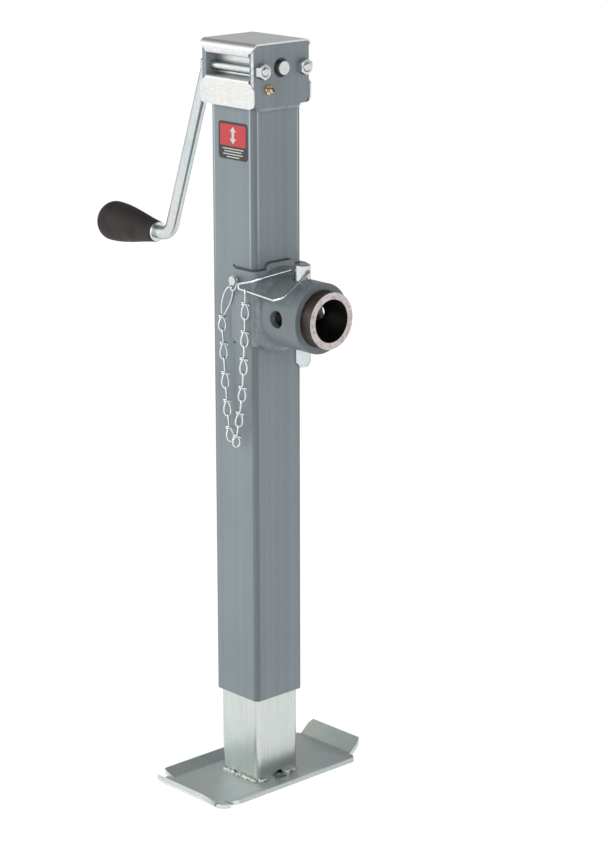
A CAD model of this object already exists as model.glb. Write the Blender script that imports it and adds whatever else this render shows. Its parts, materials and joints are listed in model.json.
import bmesh
import bpy
import json
import math
from mathutils import Matrix, Vector, noise


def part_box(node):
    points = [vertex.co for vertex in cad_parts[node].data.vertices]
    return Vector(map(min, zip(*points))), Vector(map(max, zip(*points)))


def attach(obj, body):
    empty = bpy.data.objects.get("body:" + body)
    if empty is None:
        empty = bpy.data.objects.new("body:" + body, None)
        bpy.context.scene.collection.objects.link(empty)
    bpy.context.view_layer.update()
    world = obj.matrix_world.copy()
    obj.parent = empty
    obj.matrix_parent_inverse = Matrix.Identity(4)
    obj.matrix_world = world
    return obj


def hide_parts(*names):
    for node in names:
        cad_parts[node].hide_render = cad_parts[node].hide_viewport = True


# Looks of a side-wind trailer jack: paint, zinc plating, weld beads, threads, chain, grip and label.
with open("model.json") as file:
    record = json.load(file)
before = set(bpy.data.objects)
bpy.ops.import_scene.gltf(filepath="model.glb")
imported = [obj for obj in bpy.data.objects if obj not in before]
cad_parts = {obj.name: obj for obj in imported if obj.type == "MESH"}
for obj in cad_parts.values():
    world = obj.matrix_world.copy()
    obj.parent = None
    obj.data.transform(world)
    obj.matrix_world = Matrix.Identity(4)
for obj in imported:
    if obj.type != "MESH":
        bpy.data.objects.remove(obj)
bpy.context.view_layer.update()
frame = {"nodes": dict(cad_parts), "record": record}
JOINTS = {joint["name"]: joint for joint in frame["record"]["behaviour"]["joints"]}
MM = 0.001

# Camera
CAMERA_PLACE = Vector((1694.8, -1519.5, 974.2)) * MM
CAMERA_YAW = math.radians(47.108)
CAMERA_PITCH = math.radians(15.589)
CAMERA_ROLL = math.radians(-0.086)
CAMERA_LENS = 109.86
CAMERA_SHIFT = 0.0023

# Chain: radii and half widths of the wire and its loops
CHAIN_WIRE = 0.85 * MM
CHAIN_YAW = math.radians(47.108)
LOOP_HALF_WIDTH = 3.1 * MM
WIDE_LOOP_HALF_WIDTH = 3.9 * MM
STUD_LINK_HALF_WIDTH = 3.9 * MM
KNOT_HALF_WIDTH = 2.9 * MM
KNOT_HALF_DEPTH = 1.8 * MM
KNOT_TURNS = 1.75
KNOT_RISE = 2.9 * MM
LOOP_OVERLAP = 0.6 * MM
CAD_KNOT_RADIUS = 2.2 * MM

# Paint
PAINT_DARK = (0.180, 0.214, 0.234)
PAINT_LIGHT = (0.226, 0.266, 0.290)

# Fasteners
BOLT_RADIUS = 3.95 * MM
HEX_ACROSS = 12.7 * MM
THREAD_PITCH = 1.41 * MM
THREAD_DEPTH = 0.75 * MM
THREAD_LENGTH = 16 * MM
FITTING_BALL = 2.7 * MM
FITTING_HEX = 8.0 * MM

# Pipe, foot and grip
PIPE_BORE = 19.05 * MM
DRAIN_OUT = 1.5 * MM
FOOT_BEAD = 2.7 * MM
CASE_BEAD = 3.7 * MM
GRIP_NECK = 10.0 * MM
GRIP_BORE = 6.3 * MM

# Label
LABEL_BORDER = 2.2 * MM
LABEL_LAYER = 0.06 * MM
LABEL_BARS = (0.36, 0.30, 0.34, 0.22)


# Mesh helpers


def add_piece(name, verts, faces, body, slot, material, replaces=(), sharp=40):
    """Makes a mesh object of the row, smooth but for its sharp edges."""
    mesh = bpy.data.meshes.new(name)
    mesh.from_pydata([tuple(v) for v in verts], [], faces)
    mesh.update()
    for polygon in mesh.polygons:
        polygon.use_smooth = True
    mesh.set_sharp_from_angle(angle=math.radians(sharp))
    mesh.materials.append(material)
    piece = bpy.data.objects.new(name, mesh)
    bpy.context.scene.collection.objects.link(piece)
    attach(piece, body)
    if replaces:
        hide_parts(*replaces)
    return piece


def joined(shapes):
    """Several (verts, faces) shapes as one."""
    verts, faces = [], []
    for shape_verts, shape_faces in shapes:
        start = len(verts)
        verts += list(shape_verts)
        faces += [tuple(start + i for i in face) for face in shape_faces]
    return verts, faces


def ring_faces(rings, sides, closed_rings):
    """Quads between consecutive rings of vertices."""
    faces = []
    last = rings if closed_rings else rings - 1
    for i in range(last):
        a, b = i * sides, ((i + 1) % rings) * sides
        for k in range(sides):
            n = (k + 1) % sides
            faces.append((a + k, a + n, b + n, b + k))
    return faces


def tube(points, radius, closed=False, sides=10, bulge=None):
    """A round wire along points; bulge(i, angle) scales its radius."""
    count = len(points)
    tangents = []
    for i in range(count):
        before = points[(i - 1) % count] if closed or i else points[0]
        after = points[(i + 1) % count] if closed or i < count - 1 else points[-1]
        tangents.append((after - before).normalized())
    side = tangents[0].orthogonal().normalized()
    verts = []
    for i, point in enumerate(points):
        side = (side - tangents[i] * side.dot(tangents[i])).normalized()
        up = tangents[i].cross(side)
        for k in range(sides):
            angle = 2 * math.pi * k / sides
            reach = radius * (bulge(i, angle) if bulge else 1.0)
            verts.append(point + (side * math.cos(angle) + up * math.sin(angle)) * reach)
    faces = ring_faces(count, sides, closed)
    if not closed:
        faces.append(tuple(reversed(range(sides))))
        faces.append(tuple((count - 1) * sides + k for k in range(sides)))
    return verts, faces


def lathe(profile, place, steps=72):
    """Turns profile(angle) -> [(radius, height), ...] about the local Z of the matrix place."""
    columns = [profile(2 * math.pi * k / steps) for k in range(steps)]
    rows = len(columns[0])
    verts = []
    for row in range(rows):
        for k in range(steps):
            radius, height = columns[k][row]
            angle = 2 * math.pi * k / steps
            verts.append(place @ Vector((radius * math.cos(angle), radius * math.sin(angle), height)))
    faces = ring_faces(rows, steps, False)
    faces = [tuple(reversed(face)) for face in faces]
    faces.append(tuple(range(steps)))
    faces.append(tuple(reversed([(rows - 1) * steps + k for k in range(steps)])))
    return verts, [tuple(reversed(face)) for face in faces]


def axis_place(origin, axis):
    """A matrix whose Z runs along axis from origin."""
    return Matrix.Translation(origin) @ Vector(axis).to_track_quat("Z", "Y").to_matrix().to_4x4()


def middle(node):
    low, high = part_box(node)
    return (Vector(low) + Vector(high)) / 2


# Material helpers


class Finish:
    """A Principled material and short ways to add procedural nodes to it."""

    def __init__(self, name, **sockets):
        self.material = bpy.data.materials.new(name)
        self.material.use_nodes = True
        self.tree = self.material.node_tree
        self.tree.nodes.clear()
        self.shader = self.add("ShaderNodeBsdfPrincipled")
        output = self.add("ShaderNodeOutputMaterial")
        self.join(self.shader.outputs["BSDF"], output.inputs["Surface"])
        for socket, value in sockets.items():
            self.shader.inputs[socket.replace("_", " ")].default_value = value
        self.place = self.add("ShaderNodeTexCoord").outputs["Object"]

    def add(self, kind, **settings):
        node = self.tree.nodes.new(kind)
        for key, value in settings.items():
            setattr(node, key, value)
        return node

    def join(self, source, target):
        self.tree.links.new(source, target)

    def apart(self):
        """A node that gives X, Y and Z in the row's own frame."""
        node = self.add("ShaderNodeSeparateXYZ")
        self.join(self.place, node.inputs["Vector"])
        return node

    def stretched(self, scale):
        mapping = self.add("ShaderNodeMapping")
        mapping.inputs["Scale"].default_value = scale
        self.join(self.place, mapping.inputs["Vector"])
        return mapping.outputs["Vector"]

    def noise(self, size, detail=4.0, stretch=(1, 1, 1), distortion=0.0):
        """Noise whose features are about size metres across."""
        node = self.add("ShaderNodeTexNoise")
        node.inputs["Scale"].default_value = 1.0
        node.inputs["Detail"].default_value = detail
        node.inputs["Distortion"].default_value = distortion
        self.join(self.stretched([s / size for s in stretch]), node.inputs["Vector"])
        return node.outputs["Fac"]

    def cells(self, size):
        """Distance from the middle of cells about size metres across."""
        node = self.add("ShaderNodeTexVoronoi")
        node.inputs["Scale"].default_value = 1.0
        self.join(self.stretched([1 / size] * 3), node.inputs["Vector"])
        return node.outputs["Distance"]

    def ramp(self, fac, *stops):
        """Maps a factor through (position, colour or grey) stops."""
        node = self.add("ShaderNodeValToRGB")
        elements = node.color_ramp.elements
        while len(elements) < len(stops):
            elements.new(0.5)
        for element, (position, colour) in zip(elements, stops):
            element.position = position
            element.color = (colour,) * 3 + (1,) if isinstance(colour, float) else (*colour, 1)
        self.join(fac, node.inputs["Fac"])
        return node.outputs["Color"]

    def math(self, operation, first, second, clamp=False):
        node = self.add("ShaderNodeMath", operation=operation, use_clamp=clamp)
        for socket, value in zip(node.inputs, (first, second)):
            if isinstance(value, (int, float)):
                socket.default_value = value
            elif value is not None:
                self.join(value, socket)
        return node.outputs["Value"]

    def blend(self, fac, first, second, kind="MIX"):
        """A colour that goes from first to second with fac, or is multiplied by it."""
        node = self.add("ShaderNodeMix", data_type="RGBA", blend_type=kind)
        if isinstance(fac, float):
            node.inputs["Factor"].default_value = fac
        else:
            self.join(fac, node.inputs["Factor"])
        sockets = [s for s in node.inputs if s.type == "RGBA"]
        for socket, value in zip(sockets, (first, second)):
            if isinstance(value, tuple):
                socket.default_value = (*value, 1)
            else:
                self.join(value, socket)
        return next(o for o in node.outputs if o.type == "RGBA")

    def edges(self, radius):
        """1 on corners and edges, 0 on flats, from how much a rounded normal departs."""
        rounded = self.add("ShaderNodeBevel", samples=4)
        rounded.inputs["Radius"].default_value = radius
        flat = self.add("ShaderNodeNewGeometry")
        dot = self.add("ShaderNodeVectorMath", operation="DOT_PRODUCT")
        self.join(rounded.outputs["Normal"], dot.inputs[0])
        self.join(flat.outputs["Normal"], dot.inputs[1])
        return self.math("SUBTRACT", 1.0, dot.outputs["Value"], clamp=True)

    def colour(self, source):
        self.join(source, self.shader.inputs["Base Color"])
        return self

    def rough(self, source, low, high):
        spread = self.add("ShaderNodeMapRange")
        spread.inputs["To Min"].default_value = low
        spread.inputs["To Max"].default_value = high
        self.join(source, spread.inputs["Value"])
        self.join(spread.outputs["Result"], self.shader.inputs["Roughness"])
        return self

    def bump(self, height, depth, soften=0.0):
        """Relief depth metres high; soften rounds hard edges by that radius."""
        node = self.add("ShaderNodeBump")
        node.inputs["Strength"].default_value = 1.0
        node.inputs["Distance"].default_value = depth
        self.join(height, node.inputs["Height"])
        if soften:
            rounded = self.add("ShaderNodeBevel", samples=4)
            rounded.inputs["Radius"].default_value = soften
            self.join(rounded.outputs["Normal"], node.inputs["Normal"])
        self.join(node.outputs["Normal"], self.shader.inputs["Normal"])
        return self


def paint(name, corner=None, bare_edge=None, tone=1.0):
    """Satin blue-grey paint: orange peel, drawn streaks, thin light edges.

    corner is the |x| + |y| at which a square tube's corner begins; it gets a dark band between
    two light lines that fade down the tube. bare_edge is the |y| and the x beyond which a plate's
    sheared edge shows through the paint.
    """
    finish = Finish(name, Roughness=0.36, Coat_Weight=0.10, Coat_Roughness=0.2, Specular_IOR_Level=0.4)
    cloud = finish.noise(0.09, detail=3)
    streak = finish.noise(0.006, detail=3, stretch=(1, 1, 0.006))
    both = finish.math("ADD", finish.math("MULTIPLY", cloud, 0.4), finish.math("MULTIPLY", streak, 0.6))
    dark = tuple(tone * c for c in PAINT_DARK)
    light = tuple(tone * c for c in PAINT_LIGHT)
    base = finish.ramp(both, (0.32, dark), (0.68, light))
    specks = finish.ramp(finish.noise(0.0016, detail=2), (0.28, 0.0), (0.34, 1.0))
    colour = finish.blend(specks, tuple(0.8 * c for c in dark), base)
    edge = finish.ramp(finish.edges(0.7 * MM), (0.03, 0.0), (0.22, 1.0))
    worn = finish.math("MULTIPLY", edge, finish.ramp(finish.noise(0.012), (0.38, 0.3), (0.62, 0.8)))
    colour = finish.blend(worn, colour, tuple(2.2 * c for c in light))
    if corner:
        colour = corner_band(finish, colour, corner)
    if bare_edge:
        apart = finish.apart()
        across = finish.math("ABSOLUTE", apart.outputs["Y"], None)
        beyond = finish.math("GREATER_THAN", across, bare_edge[0])
        rim = finish.math("MULTIPLY", beyond, finish.math("GREATER_THAN", apart.outputs["X"], bare_edge[1]))
        bare = finish.ramp(finish.noise(0.003), (0.35, (0.42, 0.45, 0.47)), (0.6, (0.72, 0.75, 0.76)))
        colour = finish.blend(rim, colour, bare)
    finish.colour(colour)
    finish.rough(finish.noise(0.02), 0.30, 0.46)
    finish.bump(finish.noise(0.0021, detail=2), 0.00003, soften=0.4 * MM)
    return finish.material


def corner_band(finish, colour, start):
    """Darkens a square tube's round corners and edges them with light lines near its top."""
    apart = finish.apart()
    across = finish.math("ADD", finish.math("ABSOLUTE", apart.outputs["X"], None),
                         finish.math("ABSOLUTE", apart.outputs["Y"], None))
    past = finish.math("DIVIDE", finish.math("SUBTRACT", across, start), 2 * MM)
    shade = finish.ramp(past, (0.05, 1.0), (0.45, 0.72), (1.0, 0.66))
    banded = finish.blend(1.0, colour, shade, kind="MULTIPLY")
    line = finish.ramp(finish.math("ADD", past, 0.5), (0.06, 0.0), (0.30, 1.0), (0.62, 1.0), (0.86, 0.0))
    height = finish.ramp(apart.outputs["Z"], (0.47, 0.0), (0.53, 0.55), (0.66, 0.75))
    broken = finish.ramp(finish.noise(0.02, stretch=(1, 1, 0.3)), (0.3, 0.6), (0.6, 1.0))
    strength = finish.math("MULTIPLY", finish.math("MULTIPLY", line, height), broken)
    return finish.blend(strength, banded, tuple(2.4 * c for c in PAINT_LIGHT))


def zinc(name, tint, rough=(0.24, 0.40), grain=(1, 1, 0.03), grain_size=0.0011, grazing=0.45,
         metallic=1.0):
    """Bright zinc plating: drawn grain, cloudy passivation with blue and straw tints, fine spangle.

    grain stretches the drawn lines, and grazing is how much is reflected at a flat angle.
    """
    finish = Finish(name, Metallic=metallic, Specular_Tint=(grazing, grazing, grazing, 1))
    lines = finish.noise(grain_size, detail=3, stretch=grain)
    cloud = finish.noise(0.035, detail=4, distortion=0.6)
    cool = (tint[0] * 0.88, tint[1] * 0.96, tint[2] * 1.0)
    warm = (tint[0] * 1.0, tint[1] * 0.98, tint[2] * 0.91)
    clouded = finish.ramp(cloud, (0.30, cool), (0.50, tint), (0.72, warm))
    speck = finish.ramp(finish.cells(0.0016), (0.0, 0.72), (0.55, 1.0))
    shaded = finish.blend(0.35, clouded, speck, kind="MULTIPLY")
    dulled = finish.blend(0.12, shaded, finish.ramp(lines, (0.35, 0.0), (0.65, 1.0)), kind="MULTIPLY")
    edge = finish.ramp(finish.edges(0.6 * MM), (0.02, 0.0), (0.2, 1.0))
    finish.colour(finish.blend(edge, dulled, tuple(min(0.97, 1.35 * c) for c in tint)))
    blotch = finish.math("ADD", finish.math("MULTIPLY", lines, 0.5), finish.math("MULTIPLY", cloud, 0.5))
    finish.rough(blotch, *rough)
    finish.bump(lines, 0.000012, soften=0.35 * MM)
    return finish.material


def weld_paint(name, tone=0.95):
    """Paint over a weld: the same paint, a little darker in the toes, over gentle ripples."""
    finish = Finish(name, Roughness=0.40, Coat_Weight=0.35, Coat_Roughness=0.12)
    base = tuple(tone * c for c in PAINT_LIGHT)
    lump = finish.noise(0.0045, detail=3, distortion=0.4)
    toes = tuple(0.72 * c for c in base)
    crest = tuple(1.15 * c for c in base)
    finish.colour(finish.ramp(lump, (0.30, toes), (0.52, base), (0.74, crest)))
    finish.rough(lump, 0.42, 0.26)
    finish.bump(lump, 0.00025)
    return finish.material


def weld_zinc(name):
    """A plated weld bead: bright crests, dark flux in the hollows."""
    finish = Finish(name, Metallic=0.9)
    lump = finish.noise(0.0028, detail=5, distortion=0.8)
    flux, bead_side, crest = (0.10, 0.11, 0.11), (0.55, 0.58, 0.57), (0.92, 0.93, 0.91)
    finish.colour(finish.ramp(lump, (0.34, flux), (0.46, bead_side), (0.66, crest)))
    finish.rough(lump, 0.42, 0.22)
    finish.bump(lump, 0.0006)
    return finish.material


def bare_pipe(name, axis_z, bore, end_x):
    """Mill pipe: brown oxide outside, black inside, a sawn pinkish-grey end."""
    finish = Finish(name)
    apart = finish.apart()
    height = finish.math("SUBTRACT", apart.outputs["Z"], axis_z)
    square = finish.math("ADD", finish.math("MULTIPLY", height, height),
                         finish.math("MULTIPLY", apart.outputs["Y"], apart.outputs["Y"]))
    radius = finish.math("SQRT", square, None)
    inside = finish.math("LESS_THAN", radius, bore + 0.35 * MM)
    at_end = finish.math("GREATER_THAN", apart.outputs["X"], end_x - 0.25 * MM)
    face = finish.math("MULTIPLY", at_end, finish.math("SUBTRACT", 1.0, inside))
    rust = finish.noise(0.008, detail=6, distortion=1.2, stretch=(0.5, 1, 1))
    oxide = finish.ramp(rust, (0.30, (0.009, 0.005, 0.004)), (0.52, (0.026, 0.015, 0.012)),
                        (0.75, (0.085, 0.052, 0.042)))
    dark = finish.ramp(rust, (0.35, (0.0015, 0.001, 0.001)), (0.7, (0.006, 0.004, 0.003)))
    outer = finish.blend(inside, oxide, dark)
    saw = finish.noise(0.0009, detail=3, stretch=(1, 0.06, 1))
    pits = finish.noise(0.0035, detail=4)
    marks = finish.math("ADD", finish.math("MULTIPLY", saw, 0.4), finish.math("MULTIPLY", pits, 0.6))
    sawn = finish.ramp(marks, (0.33, (0.31, 0.265, 0.25)), (0.47, (0.56, 0.51, 0.495)),
                       (0.72, (0.72, 0.68, 0.66)))
    finish.colour(finish.blend(face, outer, sawn))
    finish.rough(rust, 0.34, 0.62)
    finish.bump(finish.math("ADD", saw, rust), 0.00006, soften=0.3 * MM)
    finish.join(finish.math("MULTIPLY", face, 0.45), finish.shader.inputs["Metallic"])
    return finish.material


def brass(name):
    finish = Finish(name, Metallic=1.0)
    tarnish = finish.noise(0.004, detail=4)
    dull, plain, bright = (0.36, 0.26, 0.15), (0.76, 0.63, 0.43), (0.92, 0.82, 0.64)
    finish.colour(finish.ramp(tarnish, (0.3, dull), (0.6, plain), (0.8, bright)))
    finish.rough(tarnish, 0.34, 0.18)
    finish.bump(finish.noise(0.0006, stretch=(0.1, 1, 1)), 0.00001, soften=0.2 * MM)
    return finish.material


def oiled_steel(name, dark=(0.23, 0.22, 0.21), light=(0.46, 0.46, 0.46)):
    finish = Finish(name, Metallic=1.0, Coat_Weight=0.3, Coat_Roughness=0.1)
    cloud = finish.noise(0.011, detail=5)
    finish.colour(finish.ramp(cloud, (0.3, dark), (0.7, light)))
    finish.rough(cloud, 0.26, 0.44)
    finish.bump(finish.noise(0.0007, stretch=(1, 1, 0.2)), 0.000015, soften=0.2 * MM)
    return finish.material


def moulded_plastic(name):
    """Brown-black moulded handle: satin skin with faint flow marks, scuffs and a fine texture."""
    finish = Finish(name, Specular_IOR_Level=0.14)
    flow = finish.noise(0.03, detail=4, distortion=0.8)
    finish.colour(finish.ramp(flow, (0.3, (0.030, 0.025, 0.024)), (0.7, (0.052, 0.045, 0.043))))
    scuff = finish.noise(0.004, detail=6, stretch=(1, 0.15, 1))
    finish.rough(scuff, 0.52, 0.68)
    finish.bump(finish.noise(0.0007, detail=2), 0.00003)
    return finish.material


def printed(name, ink):
    """Printed vinyl: one ink with a faint dot grain and dust."""
    finish = Finish(name, Coat_Weight=0.35, Coat_Roughness=0.12)
    grain = finish.noise(0.0009, detail=3)
    thin = tuple(0.82 * c for c in ink)
    heavy = tuple(1.12 * c for c in ink)
    finish.colour(finish.ramp(grain, (0.3, thin), (0.7, heavy)))
    finish.rough(finish.noise(0.006), 0.28, 0.42)
    finish.bump(finish.noise(0.0035), 0.00002)
    return finish.material


# Chain


def solids_of(node):
    """The separate solids of a CAD node, each as its list of points, from the top down."""
    mesh = bmesh.new()
    mesh.from_mesh(frame["nodes"][node].data)
    bmesh.ops.remove_doubles(mesh, verts=mesh.verts, dist=0.001 * MM)
    mesh.verts.index_update()
    seen = set()
    solids = []
    for first in mesh.verts:
        if first.index in seen:
            continue
        seen.add(first.index)
        stack = [first]
        points = []
        while stack:
            vert = stack.pop()
            points.append(vert.co.copy())
            for edge in vert.link_edges:
                other = edge.other_vert(vert)
                if other.index not in seen:
                    seen.add(other.index)
                    stack.append(other)
        solids.append(points)
    mesh.free()
    return sorted(solids, key=lambda points: -max(p.z for p in points))


def pear_loop(start, end, across, half_width, steps=44):
    """A closed loop of wire, narrow at start and round at end."""
    along = end - start
    widest = max(math.sin(a) * math.sin(a / 2) ** 0.8 for a in (math.pi * k / 60 for k in range(1, 60)))
    points = []
    for k in range(steps):
        angle = 2 * math.pi * (k + 0.5) / steps
        out = math.sin(angle) * math.sin(angle / 2) ** 0.8 / widest
        points.append(start + along * (1 - math.cos(angle)) / 2 + across * out * half_width)
    return tube(points, CHAIN_WIRE, closed=True)


def knot_wrap(centre, axis, across):
    """The wire's end wound crosswise round the waist of a link."""
    depth = axis.cross(across).normalized()
    steps = int(26 * KNOT_TURNS)
    points = []
    for k in range(steps + 1):
        turn = k / steps
        angle = 2 * math.pi * KNOT_TURNS * turn
        reach = KNOT_HALF_WIDTH * (1.0 if 0.12 < turn < 0.88 else 1.08)
        place = centre + across * math.cos(angle) * reach + depth * math.sin(angle) * KNOT_HALF_DEPTH
        points.append(place + axis * (turn - 0.5) * KNOT_RISE)
    return tube(points, CHAIN_WIRE * 0.95)


def knot_of(points):
    """The centre of a link's knot: the only place where its CAD solid is a ball."""
    low = min(p.z for p in points)
    high = max(p.z for p in points)
    best, found = None, -1
    for k in range(4, 57):
        level = low + (high - low) * k / 60
        near = [p for p in points if abs(p.z - level) < CAD_KNOT_RADIUS]
        if not near:
            continue
        centre = sum(near, Vector()) / len(near)
        centre.z = level
        shell = sum(1 for p in near if abs((p - centre).length - CAD_KNOT_RADIUS) < 0.12 * MM)
        if shell > found:
            best, found = centre, shell
    return best


def oval_loop(start, end, across, half_width, steps=44):
    """A plain link: a closed loop of wire, round at both ends."""
    along = (end - start) / 2
    points = []
    for k in range(steps):
        angle = 2 * math.pi * k / steps
        flat = math.copysign(abs(math.cos(angle)) ** 0.8, math.cos(angle))
        points.append(start + along * (1 - flat) + across * math.sin(angle) * half_width)
    return tube(points, CHAIN_WIRE, closed=True)


def chain_links(name, node, body, material):
    """Double-loop chain: two pear loops at right angles, tied by a crosswise knot.

    The left strand hangs from the stud by a plain link, and its first knotted link has a wide loop.
    """
    shapes = []
    broad_side = Vector((math.cos(CHAIN_YAW), math.sin(CHAIN_YAW), 0))
    edge_side = Vector((-math.sin(CHAIN_YAW), math.cos(CHAIN_YAW), 0))
    for index, points in enumerate(solids_of(node)):
        top = max(points, key=lambda p: p.z)
        bottom = min(points, key=lambda p: p.z)
        if body == "chain_left" and index == 0:
            axis = (top - bottom).normalized()
            across = (Vector((1, 0, 0)) - axis * axis.x).normalized()
            inset = axis * CHAIN_WIRE
            shapes.append(oval_loop(top - inset, bottom + inset, across, STUD_LINK_HALF_WIDTH))
            continue
        knot = knot_of(points)
        wide = body == "chain_left" and index == 1
        for end, side in ((top, broad_side if wide else edge_side), (bottom, broad_side)):
            axis = (end - knot).normalized()
            across = (side - axis * axis.dot(side)).normalized()
            width = WIDE_LOOP_HALF_WIDTH if wide and end is top else LOOP_HALF_WIDTH
            shapes.append(pear_loop(knot - axis * LOOP_OVERLAP, end - axis * CHAIN_WIRE, across, width))
        axis = (top - bottom).normalized()
        across = (broad_side - axis * axis.dot(broad_side)).normalized()
        shapes.append(knot_wrap(knot, axis, across))
    verts, faces = joined(shapes)
    return add_piece(name, verts, faces, body, "bright_wire", material, replaces=(node,), sharp=60)


# Fasteners


def hex_body(place, low, high, bore):
    """A hexagon with chamfered ends and a countersunk bore, along the local Z of place."""
    flat = HEX_ACROSS / 2
    circle = flat * 0.97

    def profile(angle):
        corner = ((angle + math.pi / 6) % (math.pi / 3)) - math.pi / 6
        reach = flat / math.cos(corner)
        drop = (reach - circle) * math.tan(math.radians(30))
        sink = 0.8 * MM
        outer = [(circle, low), (reach, low + drop), (reach, high - drop), (circle, high)]
        return [(bore, low), *outer, (bore + sink, high), (bore, high - sink)]

    return lathe(profile, place, steps=96)


def threaded_bar(place, low, high):
    """A bar with a helical thread and a chamfered far end, along the local Z of place."""
    rows = int((high - low) / (THREAD_PITCH / 8))
    crest = BOLT_RADIUS - 0.3 * THREAD_DEPTH
    chamfer = 0.9 * MM

    def profile(angle):
        column = []
        for i in range(rows + 1):
            height = low + (high - low) * i / rows
            wave = abs(((height / THREAD_PITCH - angle / (2 * math.pi)) % 1.0) * 2 - 1)
            reach = BOLT_RADIUS - THREAD_DEPTH * (1 - wave)
            reach = min(reach, crest - max(0.0, height - (high - chamfer)) * 0.9)
            column.append((reach, height))
        return column

    return lathe(profile, place, steps=40)


def case_bolts(material):
    """The two cover bolts: chamfered heads, plain shanks and threaded ends."""
    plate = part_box("case_plate_crank_side")[0].x
    low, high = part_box("cover_bolts")
    shapes = []
    for points in solids_of("cover_bolts"):
        centre_y = sum(p.y for p in points) / len(points)
        centre_z = (max(p.z for p in points) + min(p.z for p in points)) / 2
        place = axis_place(Vector((0, centre_y, centre_z)), (1, 0, 0))
        shapes.append(hex_body(place, low.x, plate - 0.5 * MM, 0.5 * MM))
        washer = HEX_ACROSS * 0.47
        shapes.append(lathe(lambda _: [(washer, plate - 0.6 * MM), (washer, plate)], place))
        thread_start = high.x - THREAD_LENGTH
        shank = [(BOLT_RADIUS, plate - 0.1 * MM), (BOLT_RADIUS, thread_start)]
        shapes.append(lathe(lambda _: shank, place, 40))
        shapes.append(threaded_bar(place, thread_start, high.x))
    verts, faces = joined(shapes)
    return add_piece("case_bolts", verts, faces, "jack_body", "zinc_fastener", material,
                     replaces=("cover_bolts",))


def case_nuts(material):
    """The two nuts, chamfered on both sides."""
    low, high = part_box("cover_nuts")
    shapes = []
    for points in solids_of("cover_nuts"):
        centre_y = (max(p.y for p in points) + min(p.y for p in points)) / 2
        centre_z = (max(p.z for p in points) + min(p.z for p in points)) / 2
        place = axis_place(Vector((0, centre_y, centre_z)), (1, 0, 0))
        shapes.append(hex_body(place, low.x, high.x, BOLT_RADIUS * 0.98))
    verts, faces = joined(shapes)
    return add_piece("case_nuts", verts, faces, "jack_body", "zinc_fastener", material,
                     replaces=("cover_nuts",))


def grease_nipple(material):
    """The grease fitting: hexagon, waist, ball head and the dark check-ball hole."""
    low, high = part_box("grease_fitting")
    centre = middle("grease_fitting")
    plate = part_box("case_plate_mount_side")[1].x
    place = axis_place(Vector((0, centre.y, centre.z)), (1, 0, 0))
    top = high.x
    centre_x = top - 0.84 * FITTING_BALL

    def hexagon(angle):
        corner = (angle % (math.pi / 3)) - math.pi / 6
        reach = FITTING_HEX / 2 / math.cos(corner)
        shank = [(0.4 * MM, low.x), (2.5 * MM, low.x), (2.5 * MM, plate - 0.1 * MM)]
        sides = [(reach, plate - 0.1 * MM), (reach, plate + 2.1 * MM)]
        return shank + sides + [(3.9 * MM, plate + 2.6 * MM), (2.3 * MM, plate + 2.8 * MM)]

    def head(_):
        outline = [(2.2 * MM, plate + 2.5 * MM), (1.7 * MM, plate + 3.3 * MM)]
        outline.append((1.6 * MM, centre_x - 0.8 * FITTING_BALL))
        for k in range(1, 12):
            turn = math.radians(-52 + k * 10)
            outline.append((FITTING_BALL * math.cos(turn), centre_x + FITTING_BALL * math.sin(turn)))
        return outline + [(1.25 * MM, top), (1.15 * MM, top - 2.6 * MM)]

    verts, faces = joined([lathe(hexagon, place, 48), lathe(head, place, 48)])
    return add_piece("grease_nipple", verts, faces, "jack_body", "brass", material,
                     replaces=("grease_fitting",))


# Welds


def bead(points, radius, seed, pitch=2.3 * MM, rough=0.10, wave=0.07, step=0.5 * MM):
    """A weld bead: overlapping crescent ripples along a line, tapering at both ends."""
    line = [points[0]]
    for start, end in zip(points, points[1:]):
        count = max(1, int((end - start).length / step))
        line += [start.lerp(end, (i + 1) / count) for i in range(count)]
    length = step * len(line)

    def bulge(i, angle):
        place = line[i]
        along = i * step
        near_end = min(along, length - along) / (1.6 * radius)
        taper = math.sqrt(max(0.02, 1 - (1 - min(1.0, near_end)) ** 2))
        ripple = wave * math.cos(2 * math.pi * (along / pitch + 0.3 * math.cos(angle)))
        sample = Vector((place.x, place.y + seed, place.z)) / (2.4 * MM)
        lump = noise.noise(sample + Vector((math.cos(angle), math.sin(angle), seed)))
        return taper * (1 + ripple + 1.6 * rough * lump)

    return tube(line, radius, sides=14, bulge=bulge)


def weld(name, runs, body, slot, material, seed, rough=0.10, wave=0.07):
    """One piece from several runs, each (points, radius)."""
    beads = []
    for i, (points, radius) in enumerate(runs):
        beads.append(bead(points, radius, seed + 7.3 * i, rough=rough, wave=wave))
    verts, faces = joined(beads)
    return add_piece(name, verts, faces, body, slot, material, sharp=75)


def foot_welds(material):
    """The leg's fillet welds on the foot, with a gap at the drain hole."""
    low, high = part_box("drop_tube")
    out = 0.8 * MM
    reach_x = high.x - 3.5 * MM
    reach_y = high.y - 3.0 * MM
    before_drain, after_drain = -15 * MM, 9 * MM
    z = low.z + out
    runs = [
        ([Vector((-reach_x, low.y - out, z)), Vector((high.x - 1 * MM, low.y - out, z))], FOOT_BEAD),
        ([Vector((-reach_x, high.y + out, z)), Vector((reach_x, high.y + out, z))], FOOT_BEAD),
        ([Vector((low.x - out, -reach_y, z)), Vector((low.x - out, reach_y, z))], FOOT_BEAD),
        ([Vector((high.x + out, low.y, z)), Vector((high.x + out, before_drain, z))], 2.8 * MM),
        ([Vector((high.x + out, after_drain, z)), Vector((high.x + out, reach_y, z))], 2.9 * MM),
    ]
    return weld("foot_welds", runs, "leg", "zinc_plate", material, 1.0)


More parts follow.
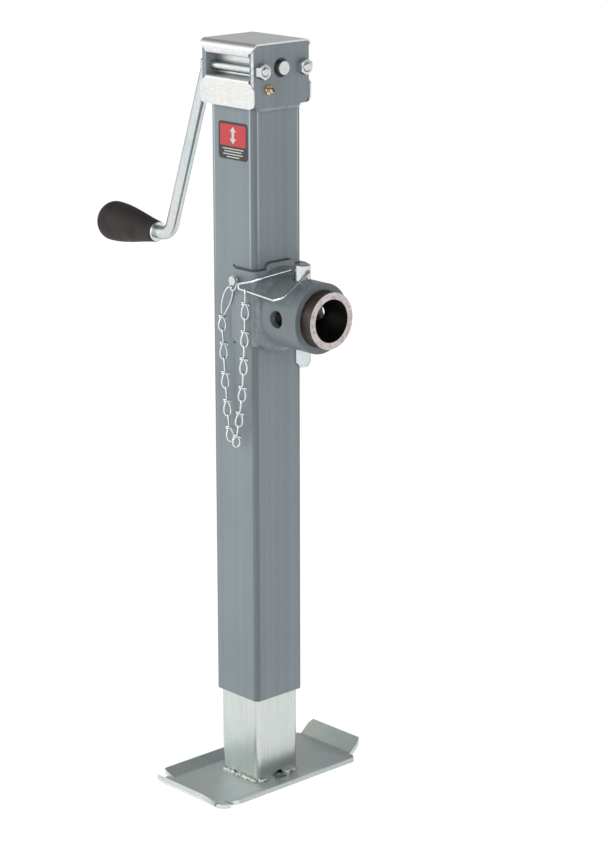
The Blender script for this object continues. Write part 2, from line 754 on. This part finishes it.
def case_welds(material):
    """The side plates' bottom edges, welded across the tube."""
    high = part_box("outer_tube")[1]
    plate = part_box("case_plate_mount_side")[0].z
    reach = high.y - 3.0 * MM
    runs = []
    for x in (high.x + 0.5 * MM, -high.x - 0.5 * MM):
        z = plate - 0.9 * MM
        runs.append(([Vector((x, -reach, z)), Vector((x, reach, z))], CASE_BEAD))
    return weld("case_welds", runs, "jack_body", "grey_paint", material, 3.0, rough=0.03, wave=0.02)


def corner_arc(centre, radius, start, end, steps=6):
    """Points on an arc in a plane, as pairs."""
    turns = [math.radians(start + (end - start) * k / steps) for k in range(steps + 1)]
    return [(centre[0] + radius * math.cos(t), centre[1] + radius * math.sin(t)) for t in turns]


def bracket_seam(edge, tab, side):
    """The line where a bracket's edge meets the tube: over the tab, round a corner, down the side."""
    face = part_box("outer_tube")[1].x
    gap = 0.35 * MM
    tab_half, tab_corner, tube_corner = 16 * MM, 5 * MM, 5 * MM
    up = 1 if tab > edge else -1
    over = corner_arc((0, 0), tab_corner, 90, 0)
    seam = [Vector((face + gap, 0, tab + up * gap))]
    for y, z in over:
        across = side * (tab_half - tab_corner + y)
        seam.append(Vector((face + gap, across, tab + up * (z - tab_corner + gap))))
    seam.append(Vector((face + gap, side * (tab_half + gap), edge + up * gap)))
    inner = face - tube_corner
    for x, y in corner_arc((inner, inner), tube_corner + gap, 0, 90):
        seam.append(Vector((x, side * y, edge + up * gap)))
    end_x, end_rise = 4 * MM, 1.8 * MM
    seam.append(Vector((end_x, side * (face + gap), edge + up * gap)))
    seam.append(Vector((end_x - 3 * MM, side * (face + gap), edge + up * end_rise)))
    return seam


def bracket_welds(material):
    """The mount bracket's dark seams: along its top and bottom edges and down its legs."""
    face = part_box("outer_tube")[1].y
    low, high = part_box("mount_bracket")
    tab_rise = 5.5 * MM
    lower, upper = low.z + 6.5 * MM, high.z - tab_rise
    runs = []
    for side in (-1, 1):
        runs.append((bracket_seam(upper, high.z, side), 0.9 * MM))
        runs.append((bracket_seam(lower, low.z, side), 0.9 * MM))
        y = side * (face + 0.5 * MM)
        runs.append(([Vector((low.x, y, lower + 11 * MM)), Vector((low.x, y, upper - 11 * MM))], 1.0 * MM))
    return weld("bracket_welds", runs, "jack_body", "grey_paint", material, 5.0, rough=0.18)


# Grip


def handle(material):
    """The turned grip: round heel, tapered waist and a moulding line."""
    joint = JOINTS["grip_spin"]
    axis = Vector(joint["axis"]).normalized()
    origin = Vector(joint["pos_m"])
    reach = [axis.dot(p - origin) for p in (v.co for v in frame["nodes"]["grip"].data.vertices)]
    start, tip = min(reach), max(reach)
    length = tip - start
    small = GRIP_NECK
    large = (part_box("grip")[1].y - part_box("grip")[0].y) / 2
    crown = start + 0.80 * length
    lip = 0.9 * MM
    outline = [(GRIP_BORE, start + 6 * MM), (GRIP_BORE, start), (small - lip, start), (small, start + lip)]
    for k in range(1, 30):
        t = k / 30
        ease = t * t * (3 - 2 * t) * 0.45 + 0.55 * math.sin(t * math.pi / 2)
        outline.append((small + (large - small) * ease, start + lip + (crown - start - lip) * t))
    for k in range(25):
        turn = math.pi / 2 * k / 24
        outline.append((max(0.02 * MM, large * math.cos(turn)), crown + (tip - crown) * math.sin(turn)))

    def profile(angle):
        seam = 0.10 * MM * math.exp(-((math.sin(angle)) / 0.03) ** 2)
        return [(r + seam if i > 3 and r > 3 * MM else r, h) for i, (r, h) in enumerate(outline)]

    verts, faces = lathe(profile, axis_place(origin, axis), steps=120)
    return add_piece("handle", verts, faces, "grip", "grip_plastic", material, replaces=("grip",), sharp=50)


# Label


def plate_shape(outline, back_y, front_y):
    """A thin plate facing -Y from an outline of (x, z)."""
    count = len(outline)
    verts = [Vector((x, back_y, z)) for x, z in outline] + [Vector((x, front_y, z)) for x, z in outline]
    faces = [tuple(range(count, 2 * count)), tuple(reversed(range(count)))]
    faces += [(k, (k + 1) % count, count + (k + 1) % count, count + k) for k in range(count)]
    return verts, faces


def rounded_box(x_low, x_high, z_low, z_high, radius):
    """The outline of a rectangle with round corners."""
    points = []
    corners = [(x_high, z_high, 0), (x_low, z_high, 90), (x_low, z_low, 180), (x_high, z_low, 270)]
    for x, z, turn in corners:
        inner_x = x - radius if x == x_high else x + radius
        inner_z = z - radius if z == z_high else z + radius
        for k in range(7):
            angle = math.radians(turn + 15 * k)
            points.append((inner_x + radius * math.cos(angle), inner_z + radius * math.sin(angle)))
    return points


def label(materials):
    """A plain label: dark border, red field, an up-and-down arrow and bars."""
    low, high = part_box("label_plate")
    front = low.y
    centre = (low.x + high.x) / 2
    split = low.z + 0.36 * (high.z - low.z)
    top = high.z - LABEL_BORDER
    field = rounded_box(low.x + LABEL_BORDER, high.x - LABEL_BORDER, split, top, 1.6 * MM)
    patch = plate_shape(field, front + LABEL_LAYER, front - LABEL_LAYER)
    add_piece("label_field", *patch, "jack_body", "label_film", materials["red"])
    shaft, head, height = 1.6 * MM, 4.2 * MM, (top - split) * 0.40
    mid = (top + split) / 2
    neck = height * 0.4
    right_half = [(shaft, neck), (head, neck), (0, height)]
    arrow = [(centre + shaft, mid)]
    arrow += [(centre + x, mid + z) for x, z in right_half]
    arrow += [(centre - head, mid + neck), (centre - shaft, mid + neck)]
    arrow += [(centre - x, mid - z) for x, z in right_half]
    arrow += [(centre + head, mid - neck), (centre + shaft, mid - neck)]
    shapes = [plate_shape(arrow, front, front - 2 * LABEL_LAYER)]
    for k, share in enumerate(LABEL_BARS):
        z = split - 2.6 * MM - k * 2.4 * MM
        half = (high.x - low.x) * share
        bar = rounded_box(centre - half, centre + half, z - 0.45 * MM, z + 0.45 * MM, 0.2 * MM)
        shapes.append(plate_shape(bar, front + LABEL_LAYER, front - LABEL_LAYER))
    add_piece("label_marks", *joined(shapes), "jack_body", "label_film", materials["white"])


# Scene


def finish_cad_nodes(finishes):
    """Gives every CAD node that stays on show its material."""
    by_node = {
        "paint_tube": ["outer_tube"],
        "paint_plate": ["case_plate_crank_side", "case_plate_mount_side"],
        "paint": ["mount_bracket"],
        "paint_sleeve": ["pivot_sleeve"],
        "weld_sleeve": ["sleeve_weld"],
        "zinc_leg": ["drop_tube"],
        "zinc_sheet": ["head_cover"],
        "zinc_foot": ["foot_plate"],
        "zinc_rod": ["crank_rod"],
        "zinc_small": ["lock_pin", "chain_stud", "grip_washer", "grip_retainer", "shaft_collar"],
        "wire": ["bail"],
        "pipe": ["weld_pipe"],
        "brass": ["drive_nut"],
        "label_dark": ["label_plate"],
        "steel": ["bevel_gear", "gear_pin", "pinion", "pinion_pin", "lead_screw", "thrust_race_lower",
                  "thrust_balls", "thrust_race_upper", "screw_stop", "bearing_plate"],
        "dark_bush": ["shaft_bushes"],
    }
    for key, nodes in by_node.items():
        for node in nodes:
            mesh = frame["nodes"][node].data
            mesh.materials.clear()
            mesh.materials.append(finishes[key])


def make_finishes():
    tube_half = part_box("outer_tube")[1].x
    plate_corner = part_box("case_plate_mount_side")[1]
    bare_edge = (plate_corner.y - 0.2 * MM, plate_corner.x - 3.2 * MM)
    pipe_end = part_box("weld_pipe")[1].x
    return {
        "paint": paint("grey_paint"),
        "paint_tube": paint("grey_paint_tube", corner=2 * tube_half - 5 * MM),
        "paint_plate": paint("grey_paint_plate", bare_edge=bare_edge),
        "paint_sleeve": paint("grey_paint_sleeve", tone=0.72),
        "weld_paint": weld_paint("painted_weld"),
        "weld_sleeve": weld_paint("painted_fillet", tone=0.68),
        "seam": weld_paint("dark_seam", tone=0.22),
        "zinc_leg": zinc("zinc_leg", grain=(1, 1, 0.02), tint=(0.67, 0.71, 0.69), grazing=0.75),
        "zinc_foot": zinc("zinc_foot", tint=(0.68, 0.735, 0.715), rough=(0.34, 0.5), grain=(1, 0.3, 1),
                          grazing=0.95, metallic=0.75),
        "zinc_sheet": zinc("zinc_sheet", grain=(0.4, 1, 1), grain_size=0.0016, tint=(0.80, 0.805, 0.80),
                           rough=(0.26, 0.42), grazing=1.0),
        "zinc_rod": zinc("zinc_rod", grain=(1, 1, 0.06), tint=(0.70, 0.73, 0.73), rough=(0.16, 0.30)),
        "zinc_small": zinc("zinc_small", grain=(1, 1, 1), tint=(0.72, 0.75, 0.75), rough=(0.16, 0.30)),
        "wire": zinc("bright_wire", tint=(0.80, 0.81, 0.80), rough=(0.10, 0.20), grain=(1, 1, 1),
                     grazing=0.35),
        "weld_zinc": weld_zinc("plated_weld"),
        "pipe": bare_pipe("bare_pipe", middle("weld_pipe").z, PIPE_BORE, pipe_end),
        "brass": brass("brass"),
        "steel": oiled_steel("oiled_steel"),
        "dark_bush": oiled_steel("dark_bush", (0.025, 0.023, 0.022), (0.07, 0.066, 0.062)),
        "grip": moulded_plastic("grip_plastic"),
        "label_dark": printed("label_black", (0.012, 0.012, 0.014)),
        "label_red": printed("label_red", (0.50, 0.018, 0.026)),
        "label_white": printed("label_white", (0.55, 0.55, 0.53)),
    }


def make_camera():
    forward = Vector((-math.sin(CAMERA_YAW) * math.cos(CAMERA_PITCH),
                      math.cos(CAMERA_YAW) * math.cos(CAMERA_PITCH), -math.sin(CAMERA_PITCH)))
    level = Vector((math.cos(CAMERA_YAW), math.sin(CAMERA_YAW), 0))
    upright = level.cross(forward)
    right = level * math.cos(CAMERA_ROLL) + upright * math.sin(CAMERA_ROLL)
    up = upright * math.cos(CAMERA_ROLL) - level * math.sin(CAMERA_ROLL)
    data = bpy.data.cameras.new("camera")
    data.lens = CAMERA_LENS
    data.sensor_width = 36
    data.shift_x = CAMERA_SHIFT
    data.clip_end = 50
    camera = bpy.data.objects.new("camera", data)
    turn = Matrix((right, up, -forward)).transposed().to_4x4()
    camera.matrix_world = Matrix.Translation(CAMERA_PLACE) @ turn
    bpy.context.scene.collection.objects.link(camera)
    bpy.context.scene.camera = camera


def make_floor():
    """A lit white sweep under the jack, unlit where the foot's drain hole stands over it."""
    half = 9.0
    mesh = bpy.data.meshes.new("floor")
    corners = [(-half, -half, 0), (half, -half, 0), (half, half, 0), (-half, half, 0)]
    mesh.from_pydata(corners, [], [(0, 1, 2, 3)])
    finish = Finish("floor", Roughness=0.9, Specular_IOR_Level=0.1, Emission_Strength=0.86)
    finish.shader.inputs["Emission Color"].default_value = (1, 1, 1, 1)
    finish.colour(finish.ramp(finish.noise(1.5), (0.3, 0.36), (0.7, 0.40)))
    apart = finish.apart()
    off_x = finish.math("SUBTRACT", apart.outputs["X"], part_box("drop_tube")[1].x + DRAIN_OUT)
    square = finish.math("ADD", finish.math("MULTIPLY", off_x, off_x),
                         finish.math("MULTIPLY", apart.outputs["Y"], apart.outputs["Y"]))
    away = finish.math("DIVIDE", finish.math("SQRT", square, None), 20 * MM)
    glow = finish.ramp(away, (0.32, 0.0), (0.45, 1.0))
    finish.join(glow, finish.shader.inputs["Emission Color"])
    mesh.materials.append(finish.material)
    floor = bpy.data.objects.new("floor", mesh)
    bpy.context.scene.collection.objects.link(floor)


def area_light(name, place, power, size, target=(0, 0, 0.35)):
    data = bpy.data.lights.new(name, "AREA")
    data.energy = power
    data.shape = "RECTANGLE"
    data.size, data.size_y = size
    light = bpy.data.objects.new(name, data)
    light.location = place
    light.rotation_euler = (Vector(target) - Vector(place)).to_track_quat("-Z", "Y").to_euler()
    bpy.context.scene.collection.objects.link(light)


def world_ramp(tree, source, stops):
    ramp = tree.nodes.new("ShaderNodeValToRGB")
    while len(ramp.color_ramp.elements) < len(stops):
        ramp.color_ramp.elements.new(0.5)
    for element, (position, grey) in zip(ramp.color_ramp.elements, stops):
        element.position = position
        element.color = (grey, grey, grey, 1)
    tree.links.new(source, ramp.inputs["Fac"])
    return ramp.outputs["Color"]


def make_world():
    """A soft room: bright in front of the jack, dimmer beside and behind it, darkest overhead."""
    world = bpy.data.worlds.new("studio")
    world.use_nodes = True
    bpy.context.scene.world = world
    tree = world.node_tree
    place = tree.nodes.new("ShaderNodeTexCoord")
    apart = tree.nodes.new("ShaderNodeSeparateXYZ")
    tree.links.new(place.outputs["Generated"], apart.inputs["Vector"])
    forward = tree.nodes.new("ShaderNodeMath")
    forward.operation = "MULTIPLY_ADD"
    forward.inputs[1].default_value = -0.5
    forward.inputs[2].default_value = 0.5
    tree.links.new(apart.outputs["Y"], forward.inputs[0])
    back_to_front = [(0.0, 0.36), (0.45, 0.42), (0.8, 0.85), (1.0, 1.0)]
    low_to_high = [(0.0, 1.0), (0.40, 0.95), (0.65, 0.36), (1.0, 0.15)]
    around = world_ramp(tree, forward.outputs["Value"], back_to_front)
    above = world_ramp(tree, apart.outputs["Z"], low_to_high)
    both = tree.nodes.new("ShaderNodeMix")
    both.data_type = "RGBA"
    both.blend_type = "MULTIPLY"
    both.inputs["Factor"].default_value = 1.0
    sockets = [s for s in both.inputs if s.type == "RGBA"]
    tree.links.new(around, sockets[0])
    tree.links.new(above, sockets[1])
    background = tree.nodes["Background"]
    tree.links.new(next(o for o in both.outputs if o.type == "RGBA"), background.inputs["Color"])
    background.inputs["Strength"].default_value = 1.6


def main():
    make_camera()
    make_floor()
    make_world()
    area_light("key", (-0.9, -2.2, 1.6), 11, (1.2, 1.2))
    area_light("side", (2.4, 0.6, 1.5), 5, (0.9, 1.6))
    finishes = make_finishes()
    finish_cad_nodes(finishes)
    chain_links("chain_links_left", "chain_left", "chain_left", finishes["wire"])
    chain_links("chain_links_right", "chain_right", "chain_right", finishes["wire"])
    case_bolts(finishes["zinc_small"])
    case_nuts(finishes["zinc_small"])
    grease_nipple(finishes["brass"])
    foot_welds(finishes["weld_zinc"])
    case_welds(finishes["weld_paint"])
    bracket_welds(finishes["seam"])
    handle(finishes["grip"])
    label({"red": finishes["label_red"], "white": finishes["label_white"]})
    bpy.context.scene.view_settings.view_transform = "Standard"


main()
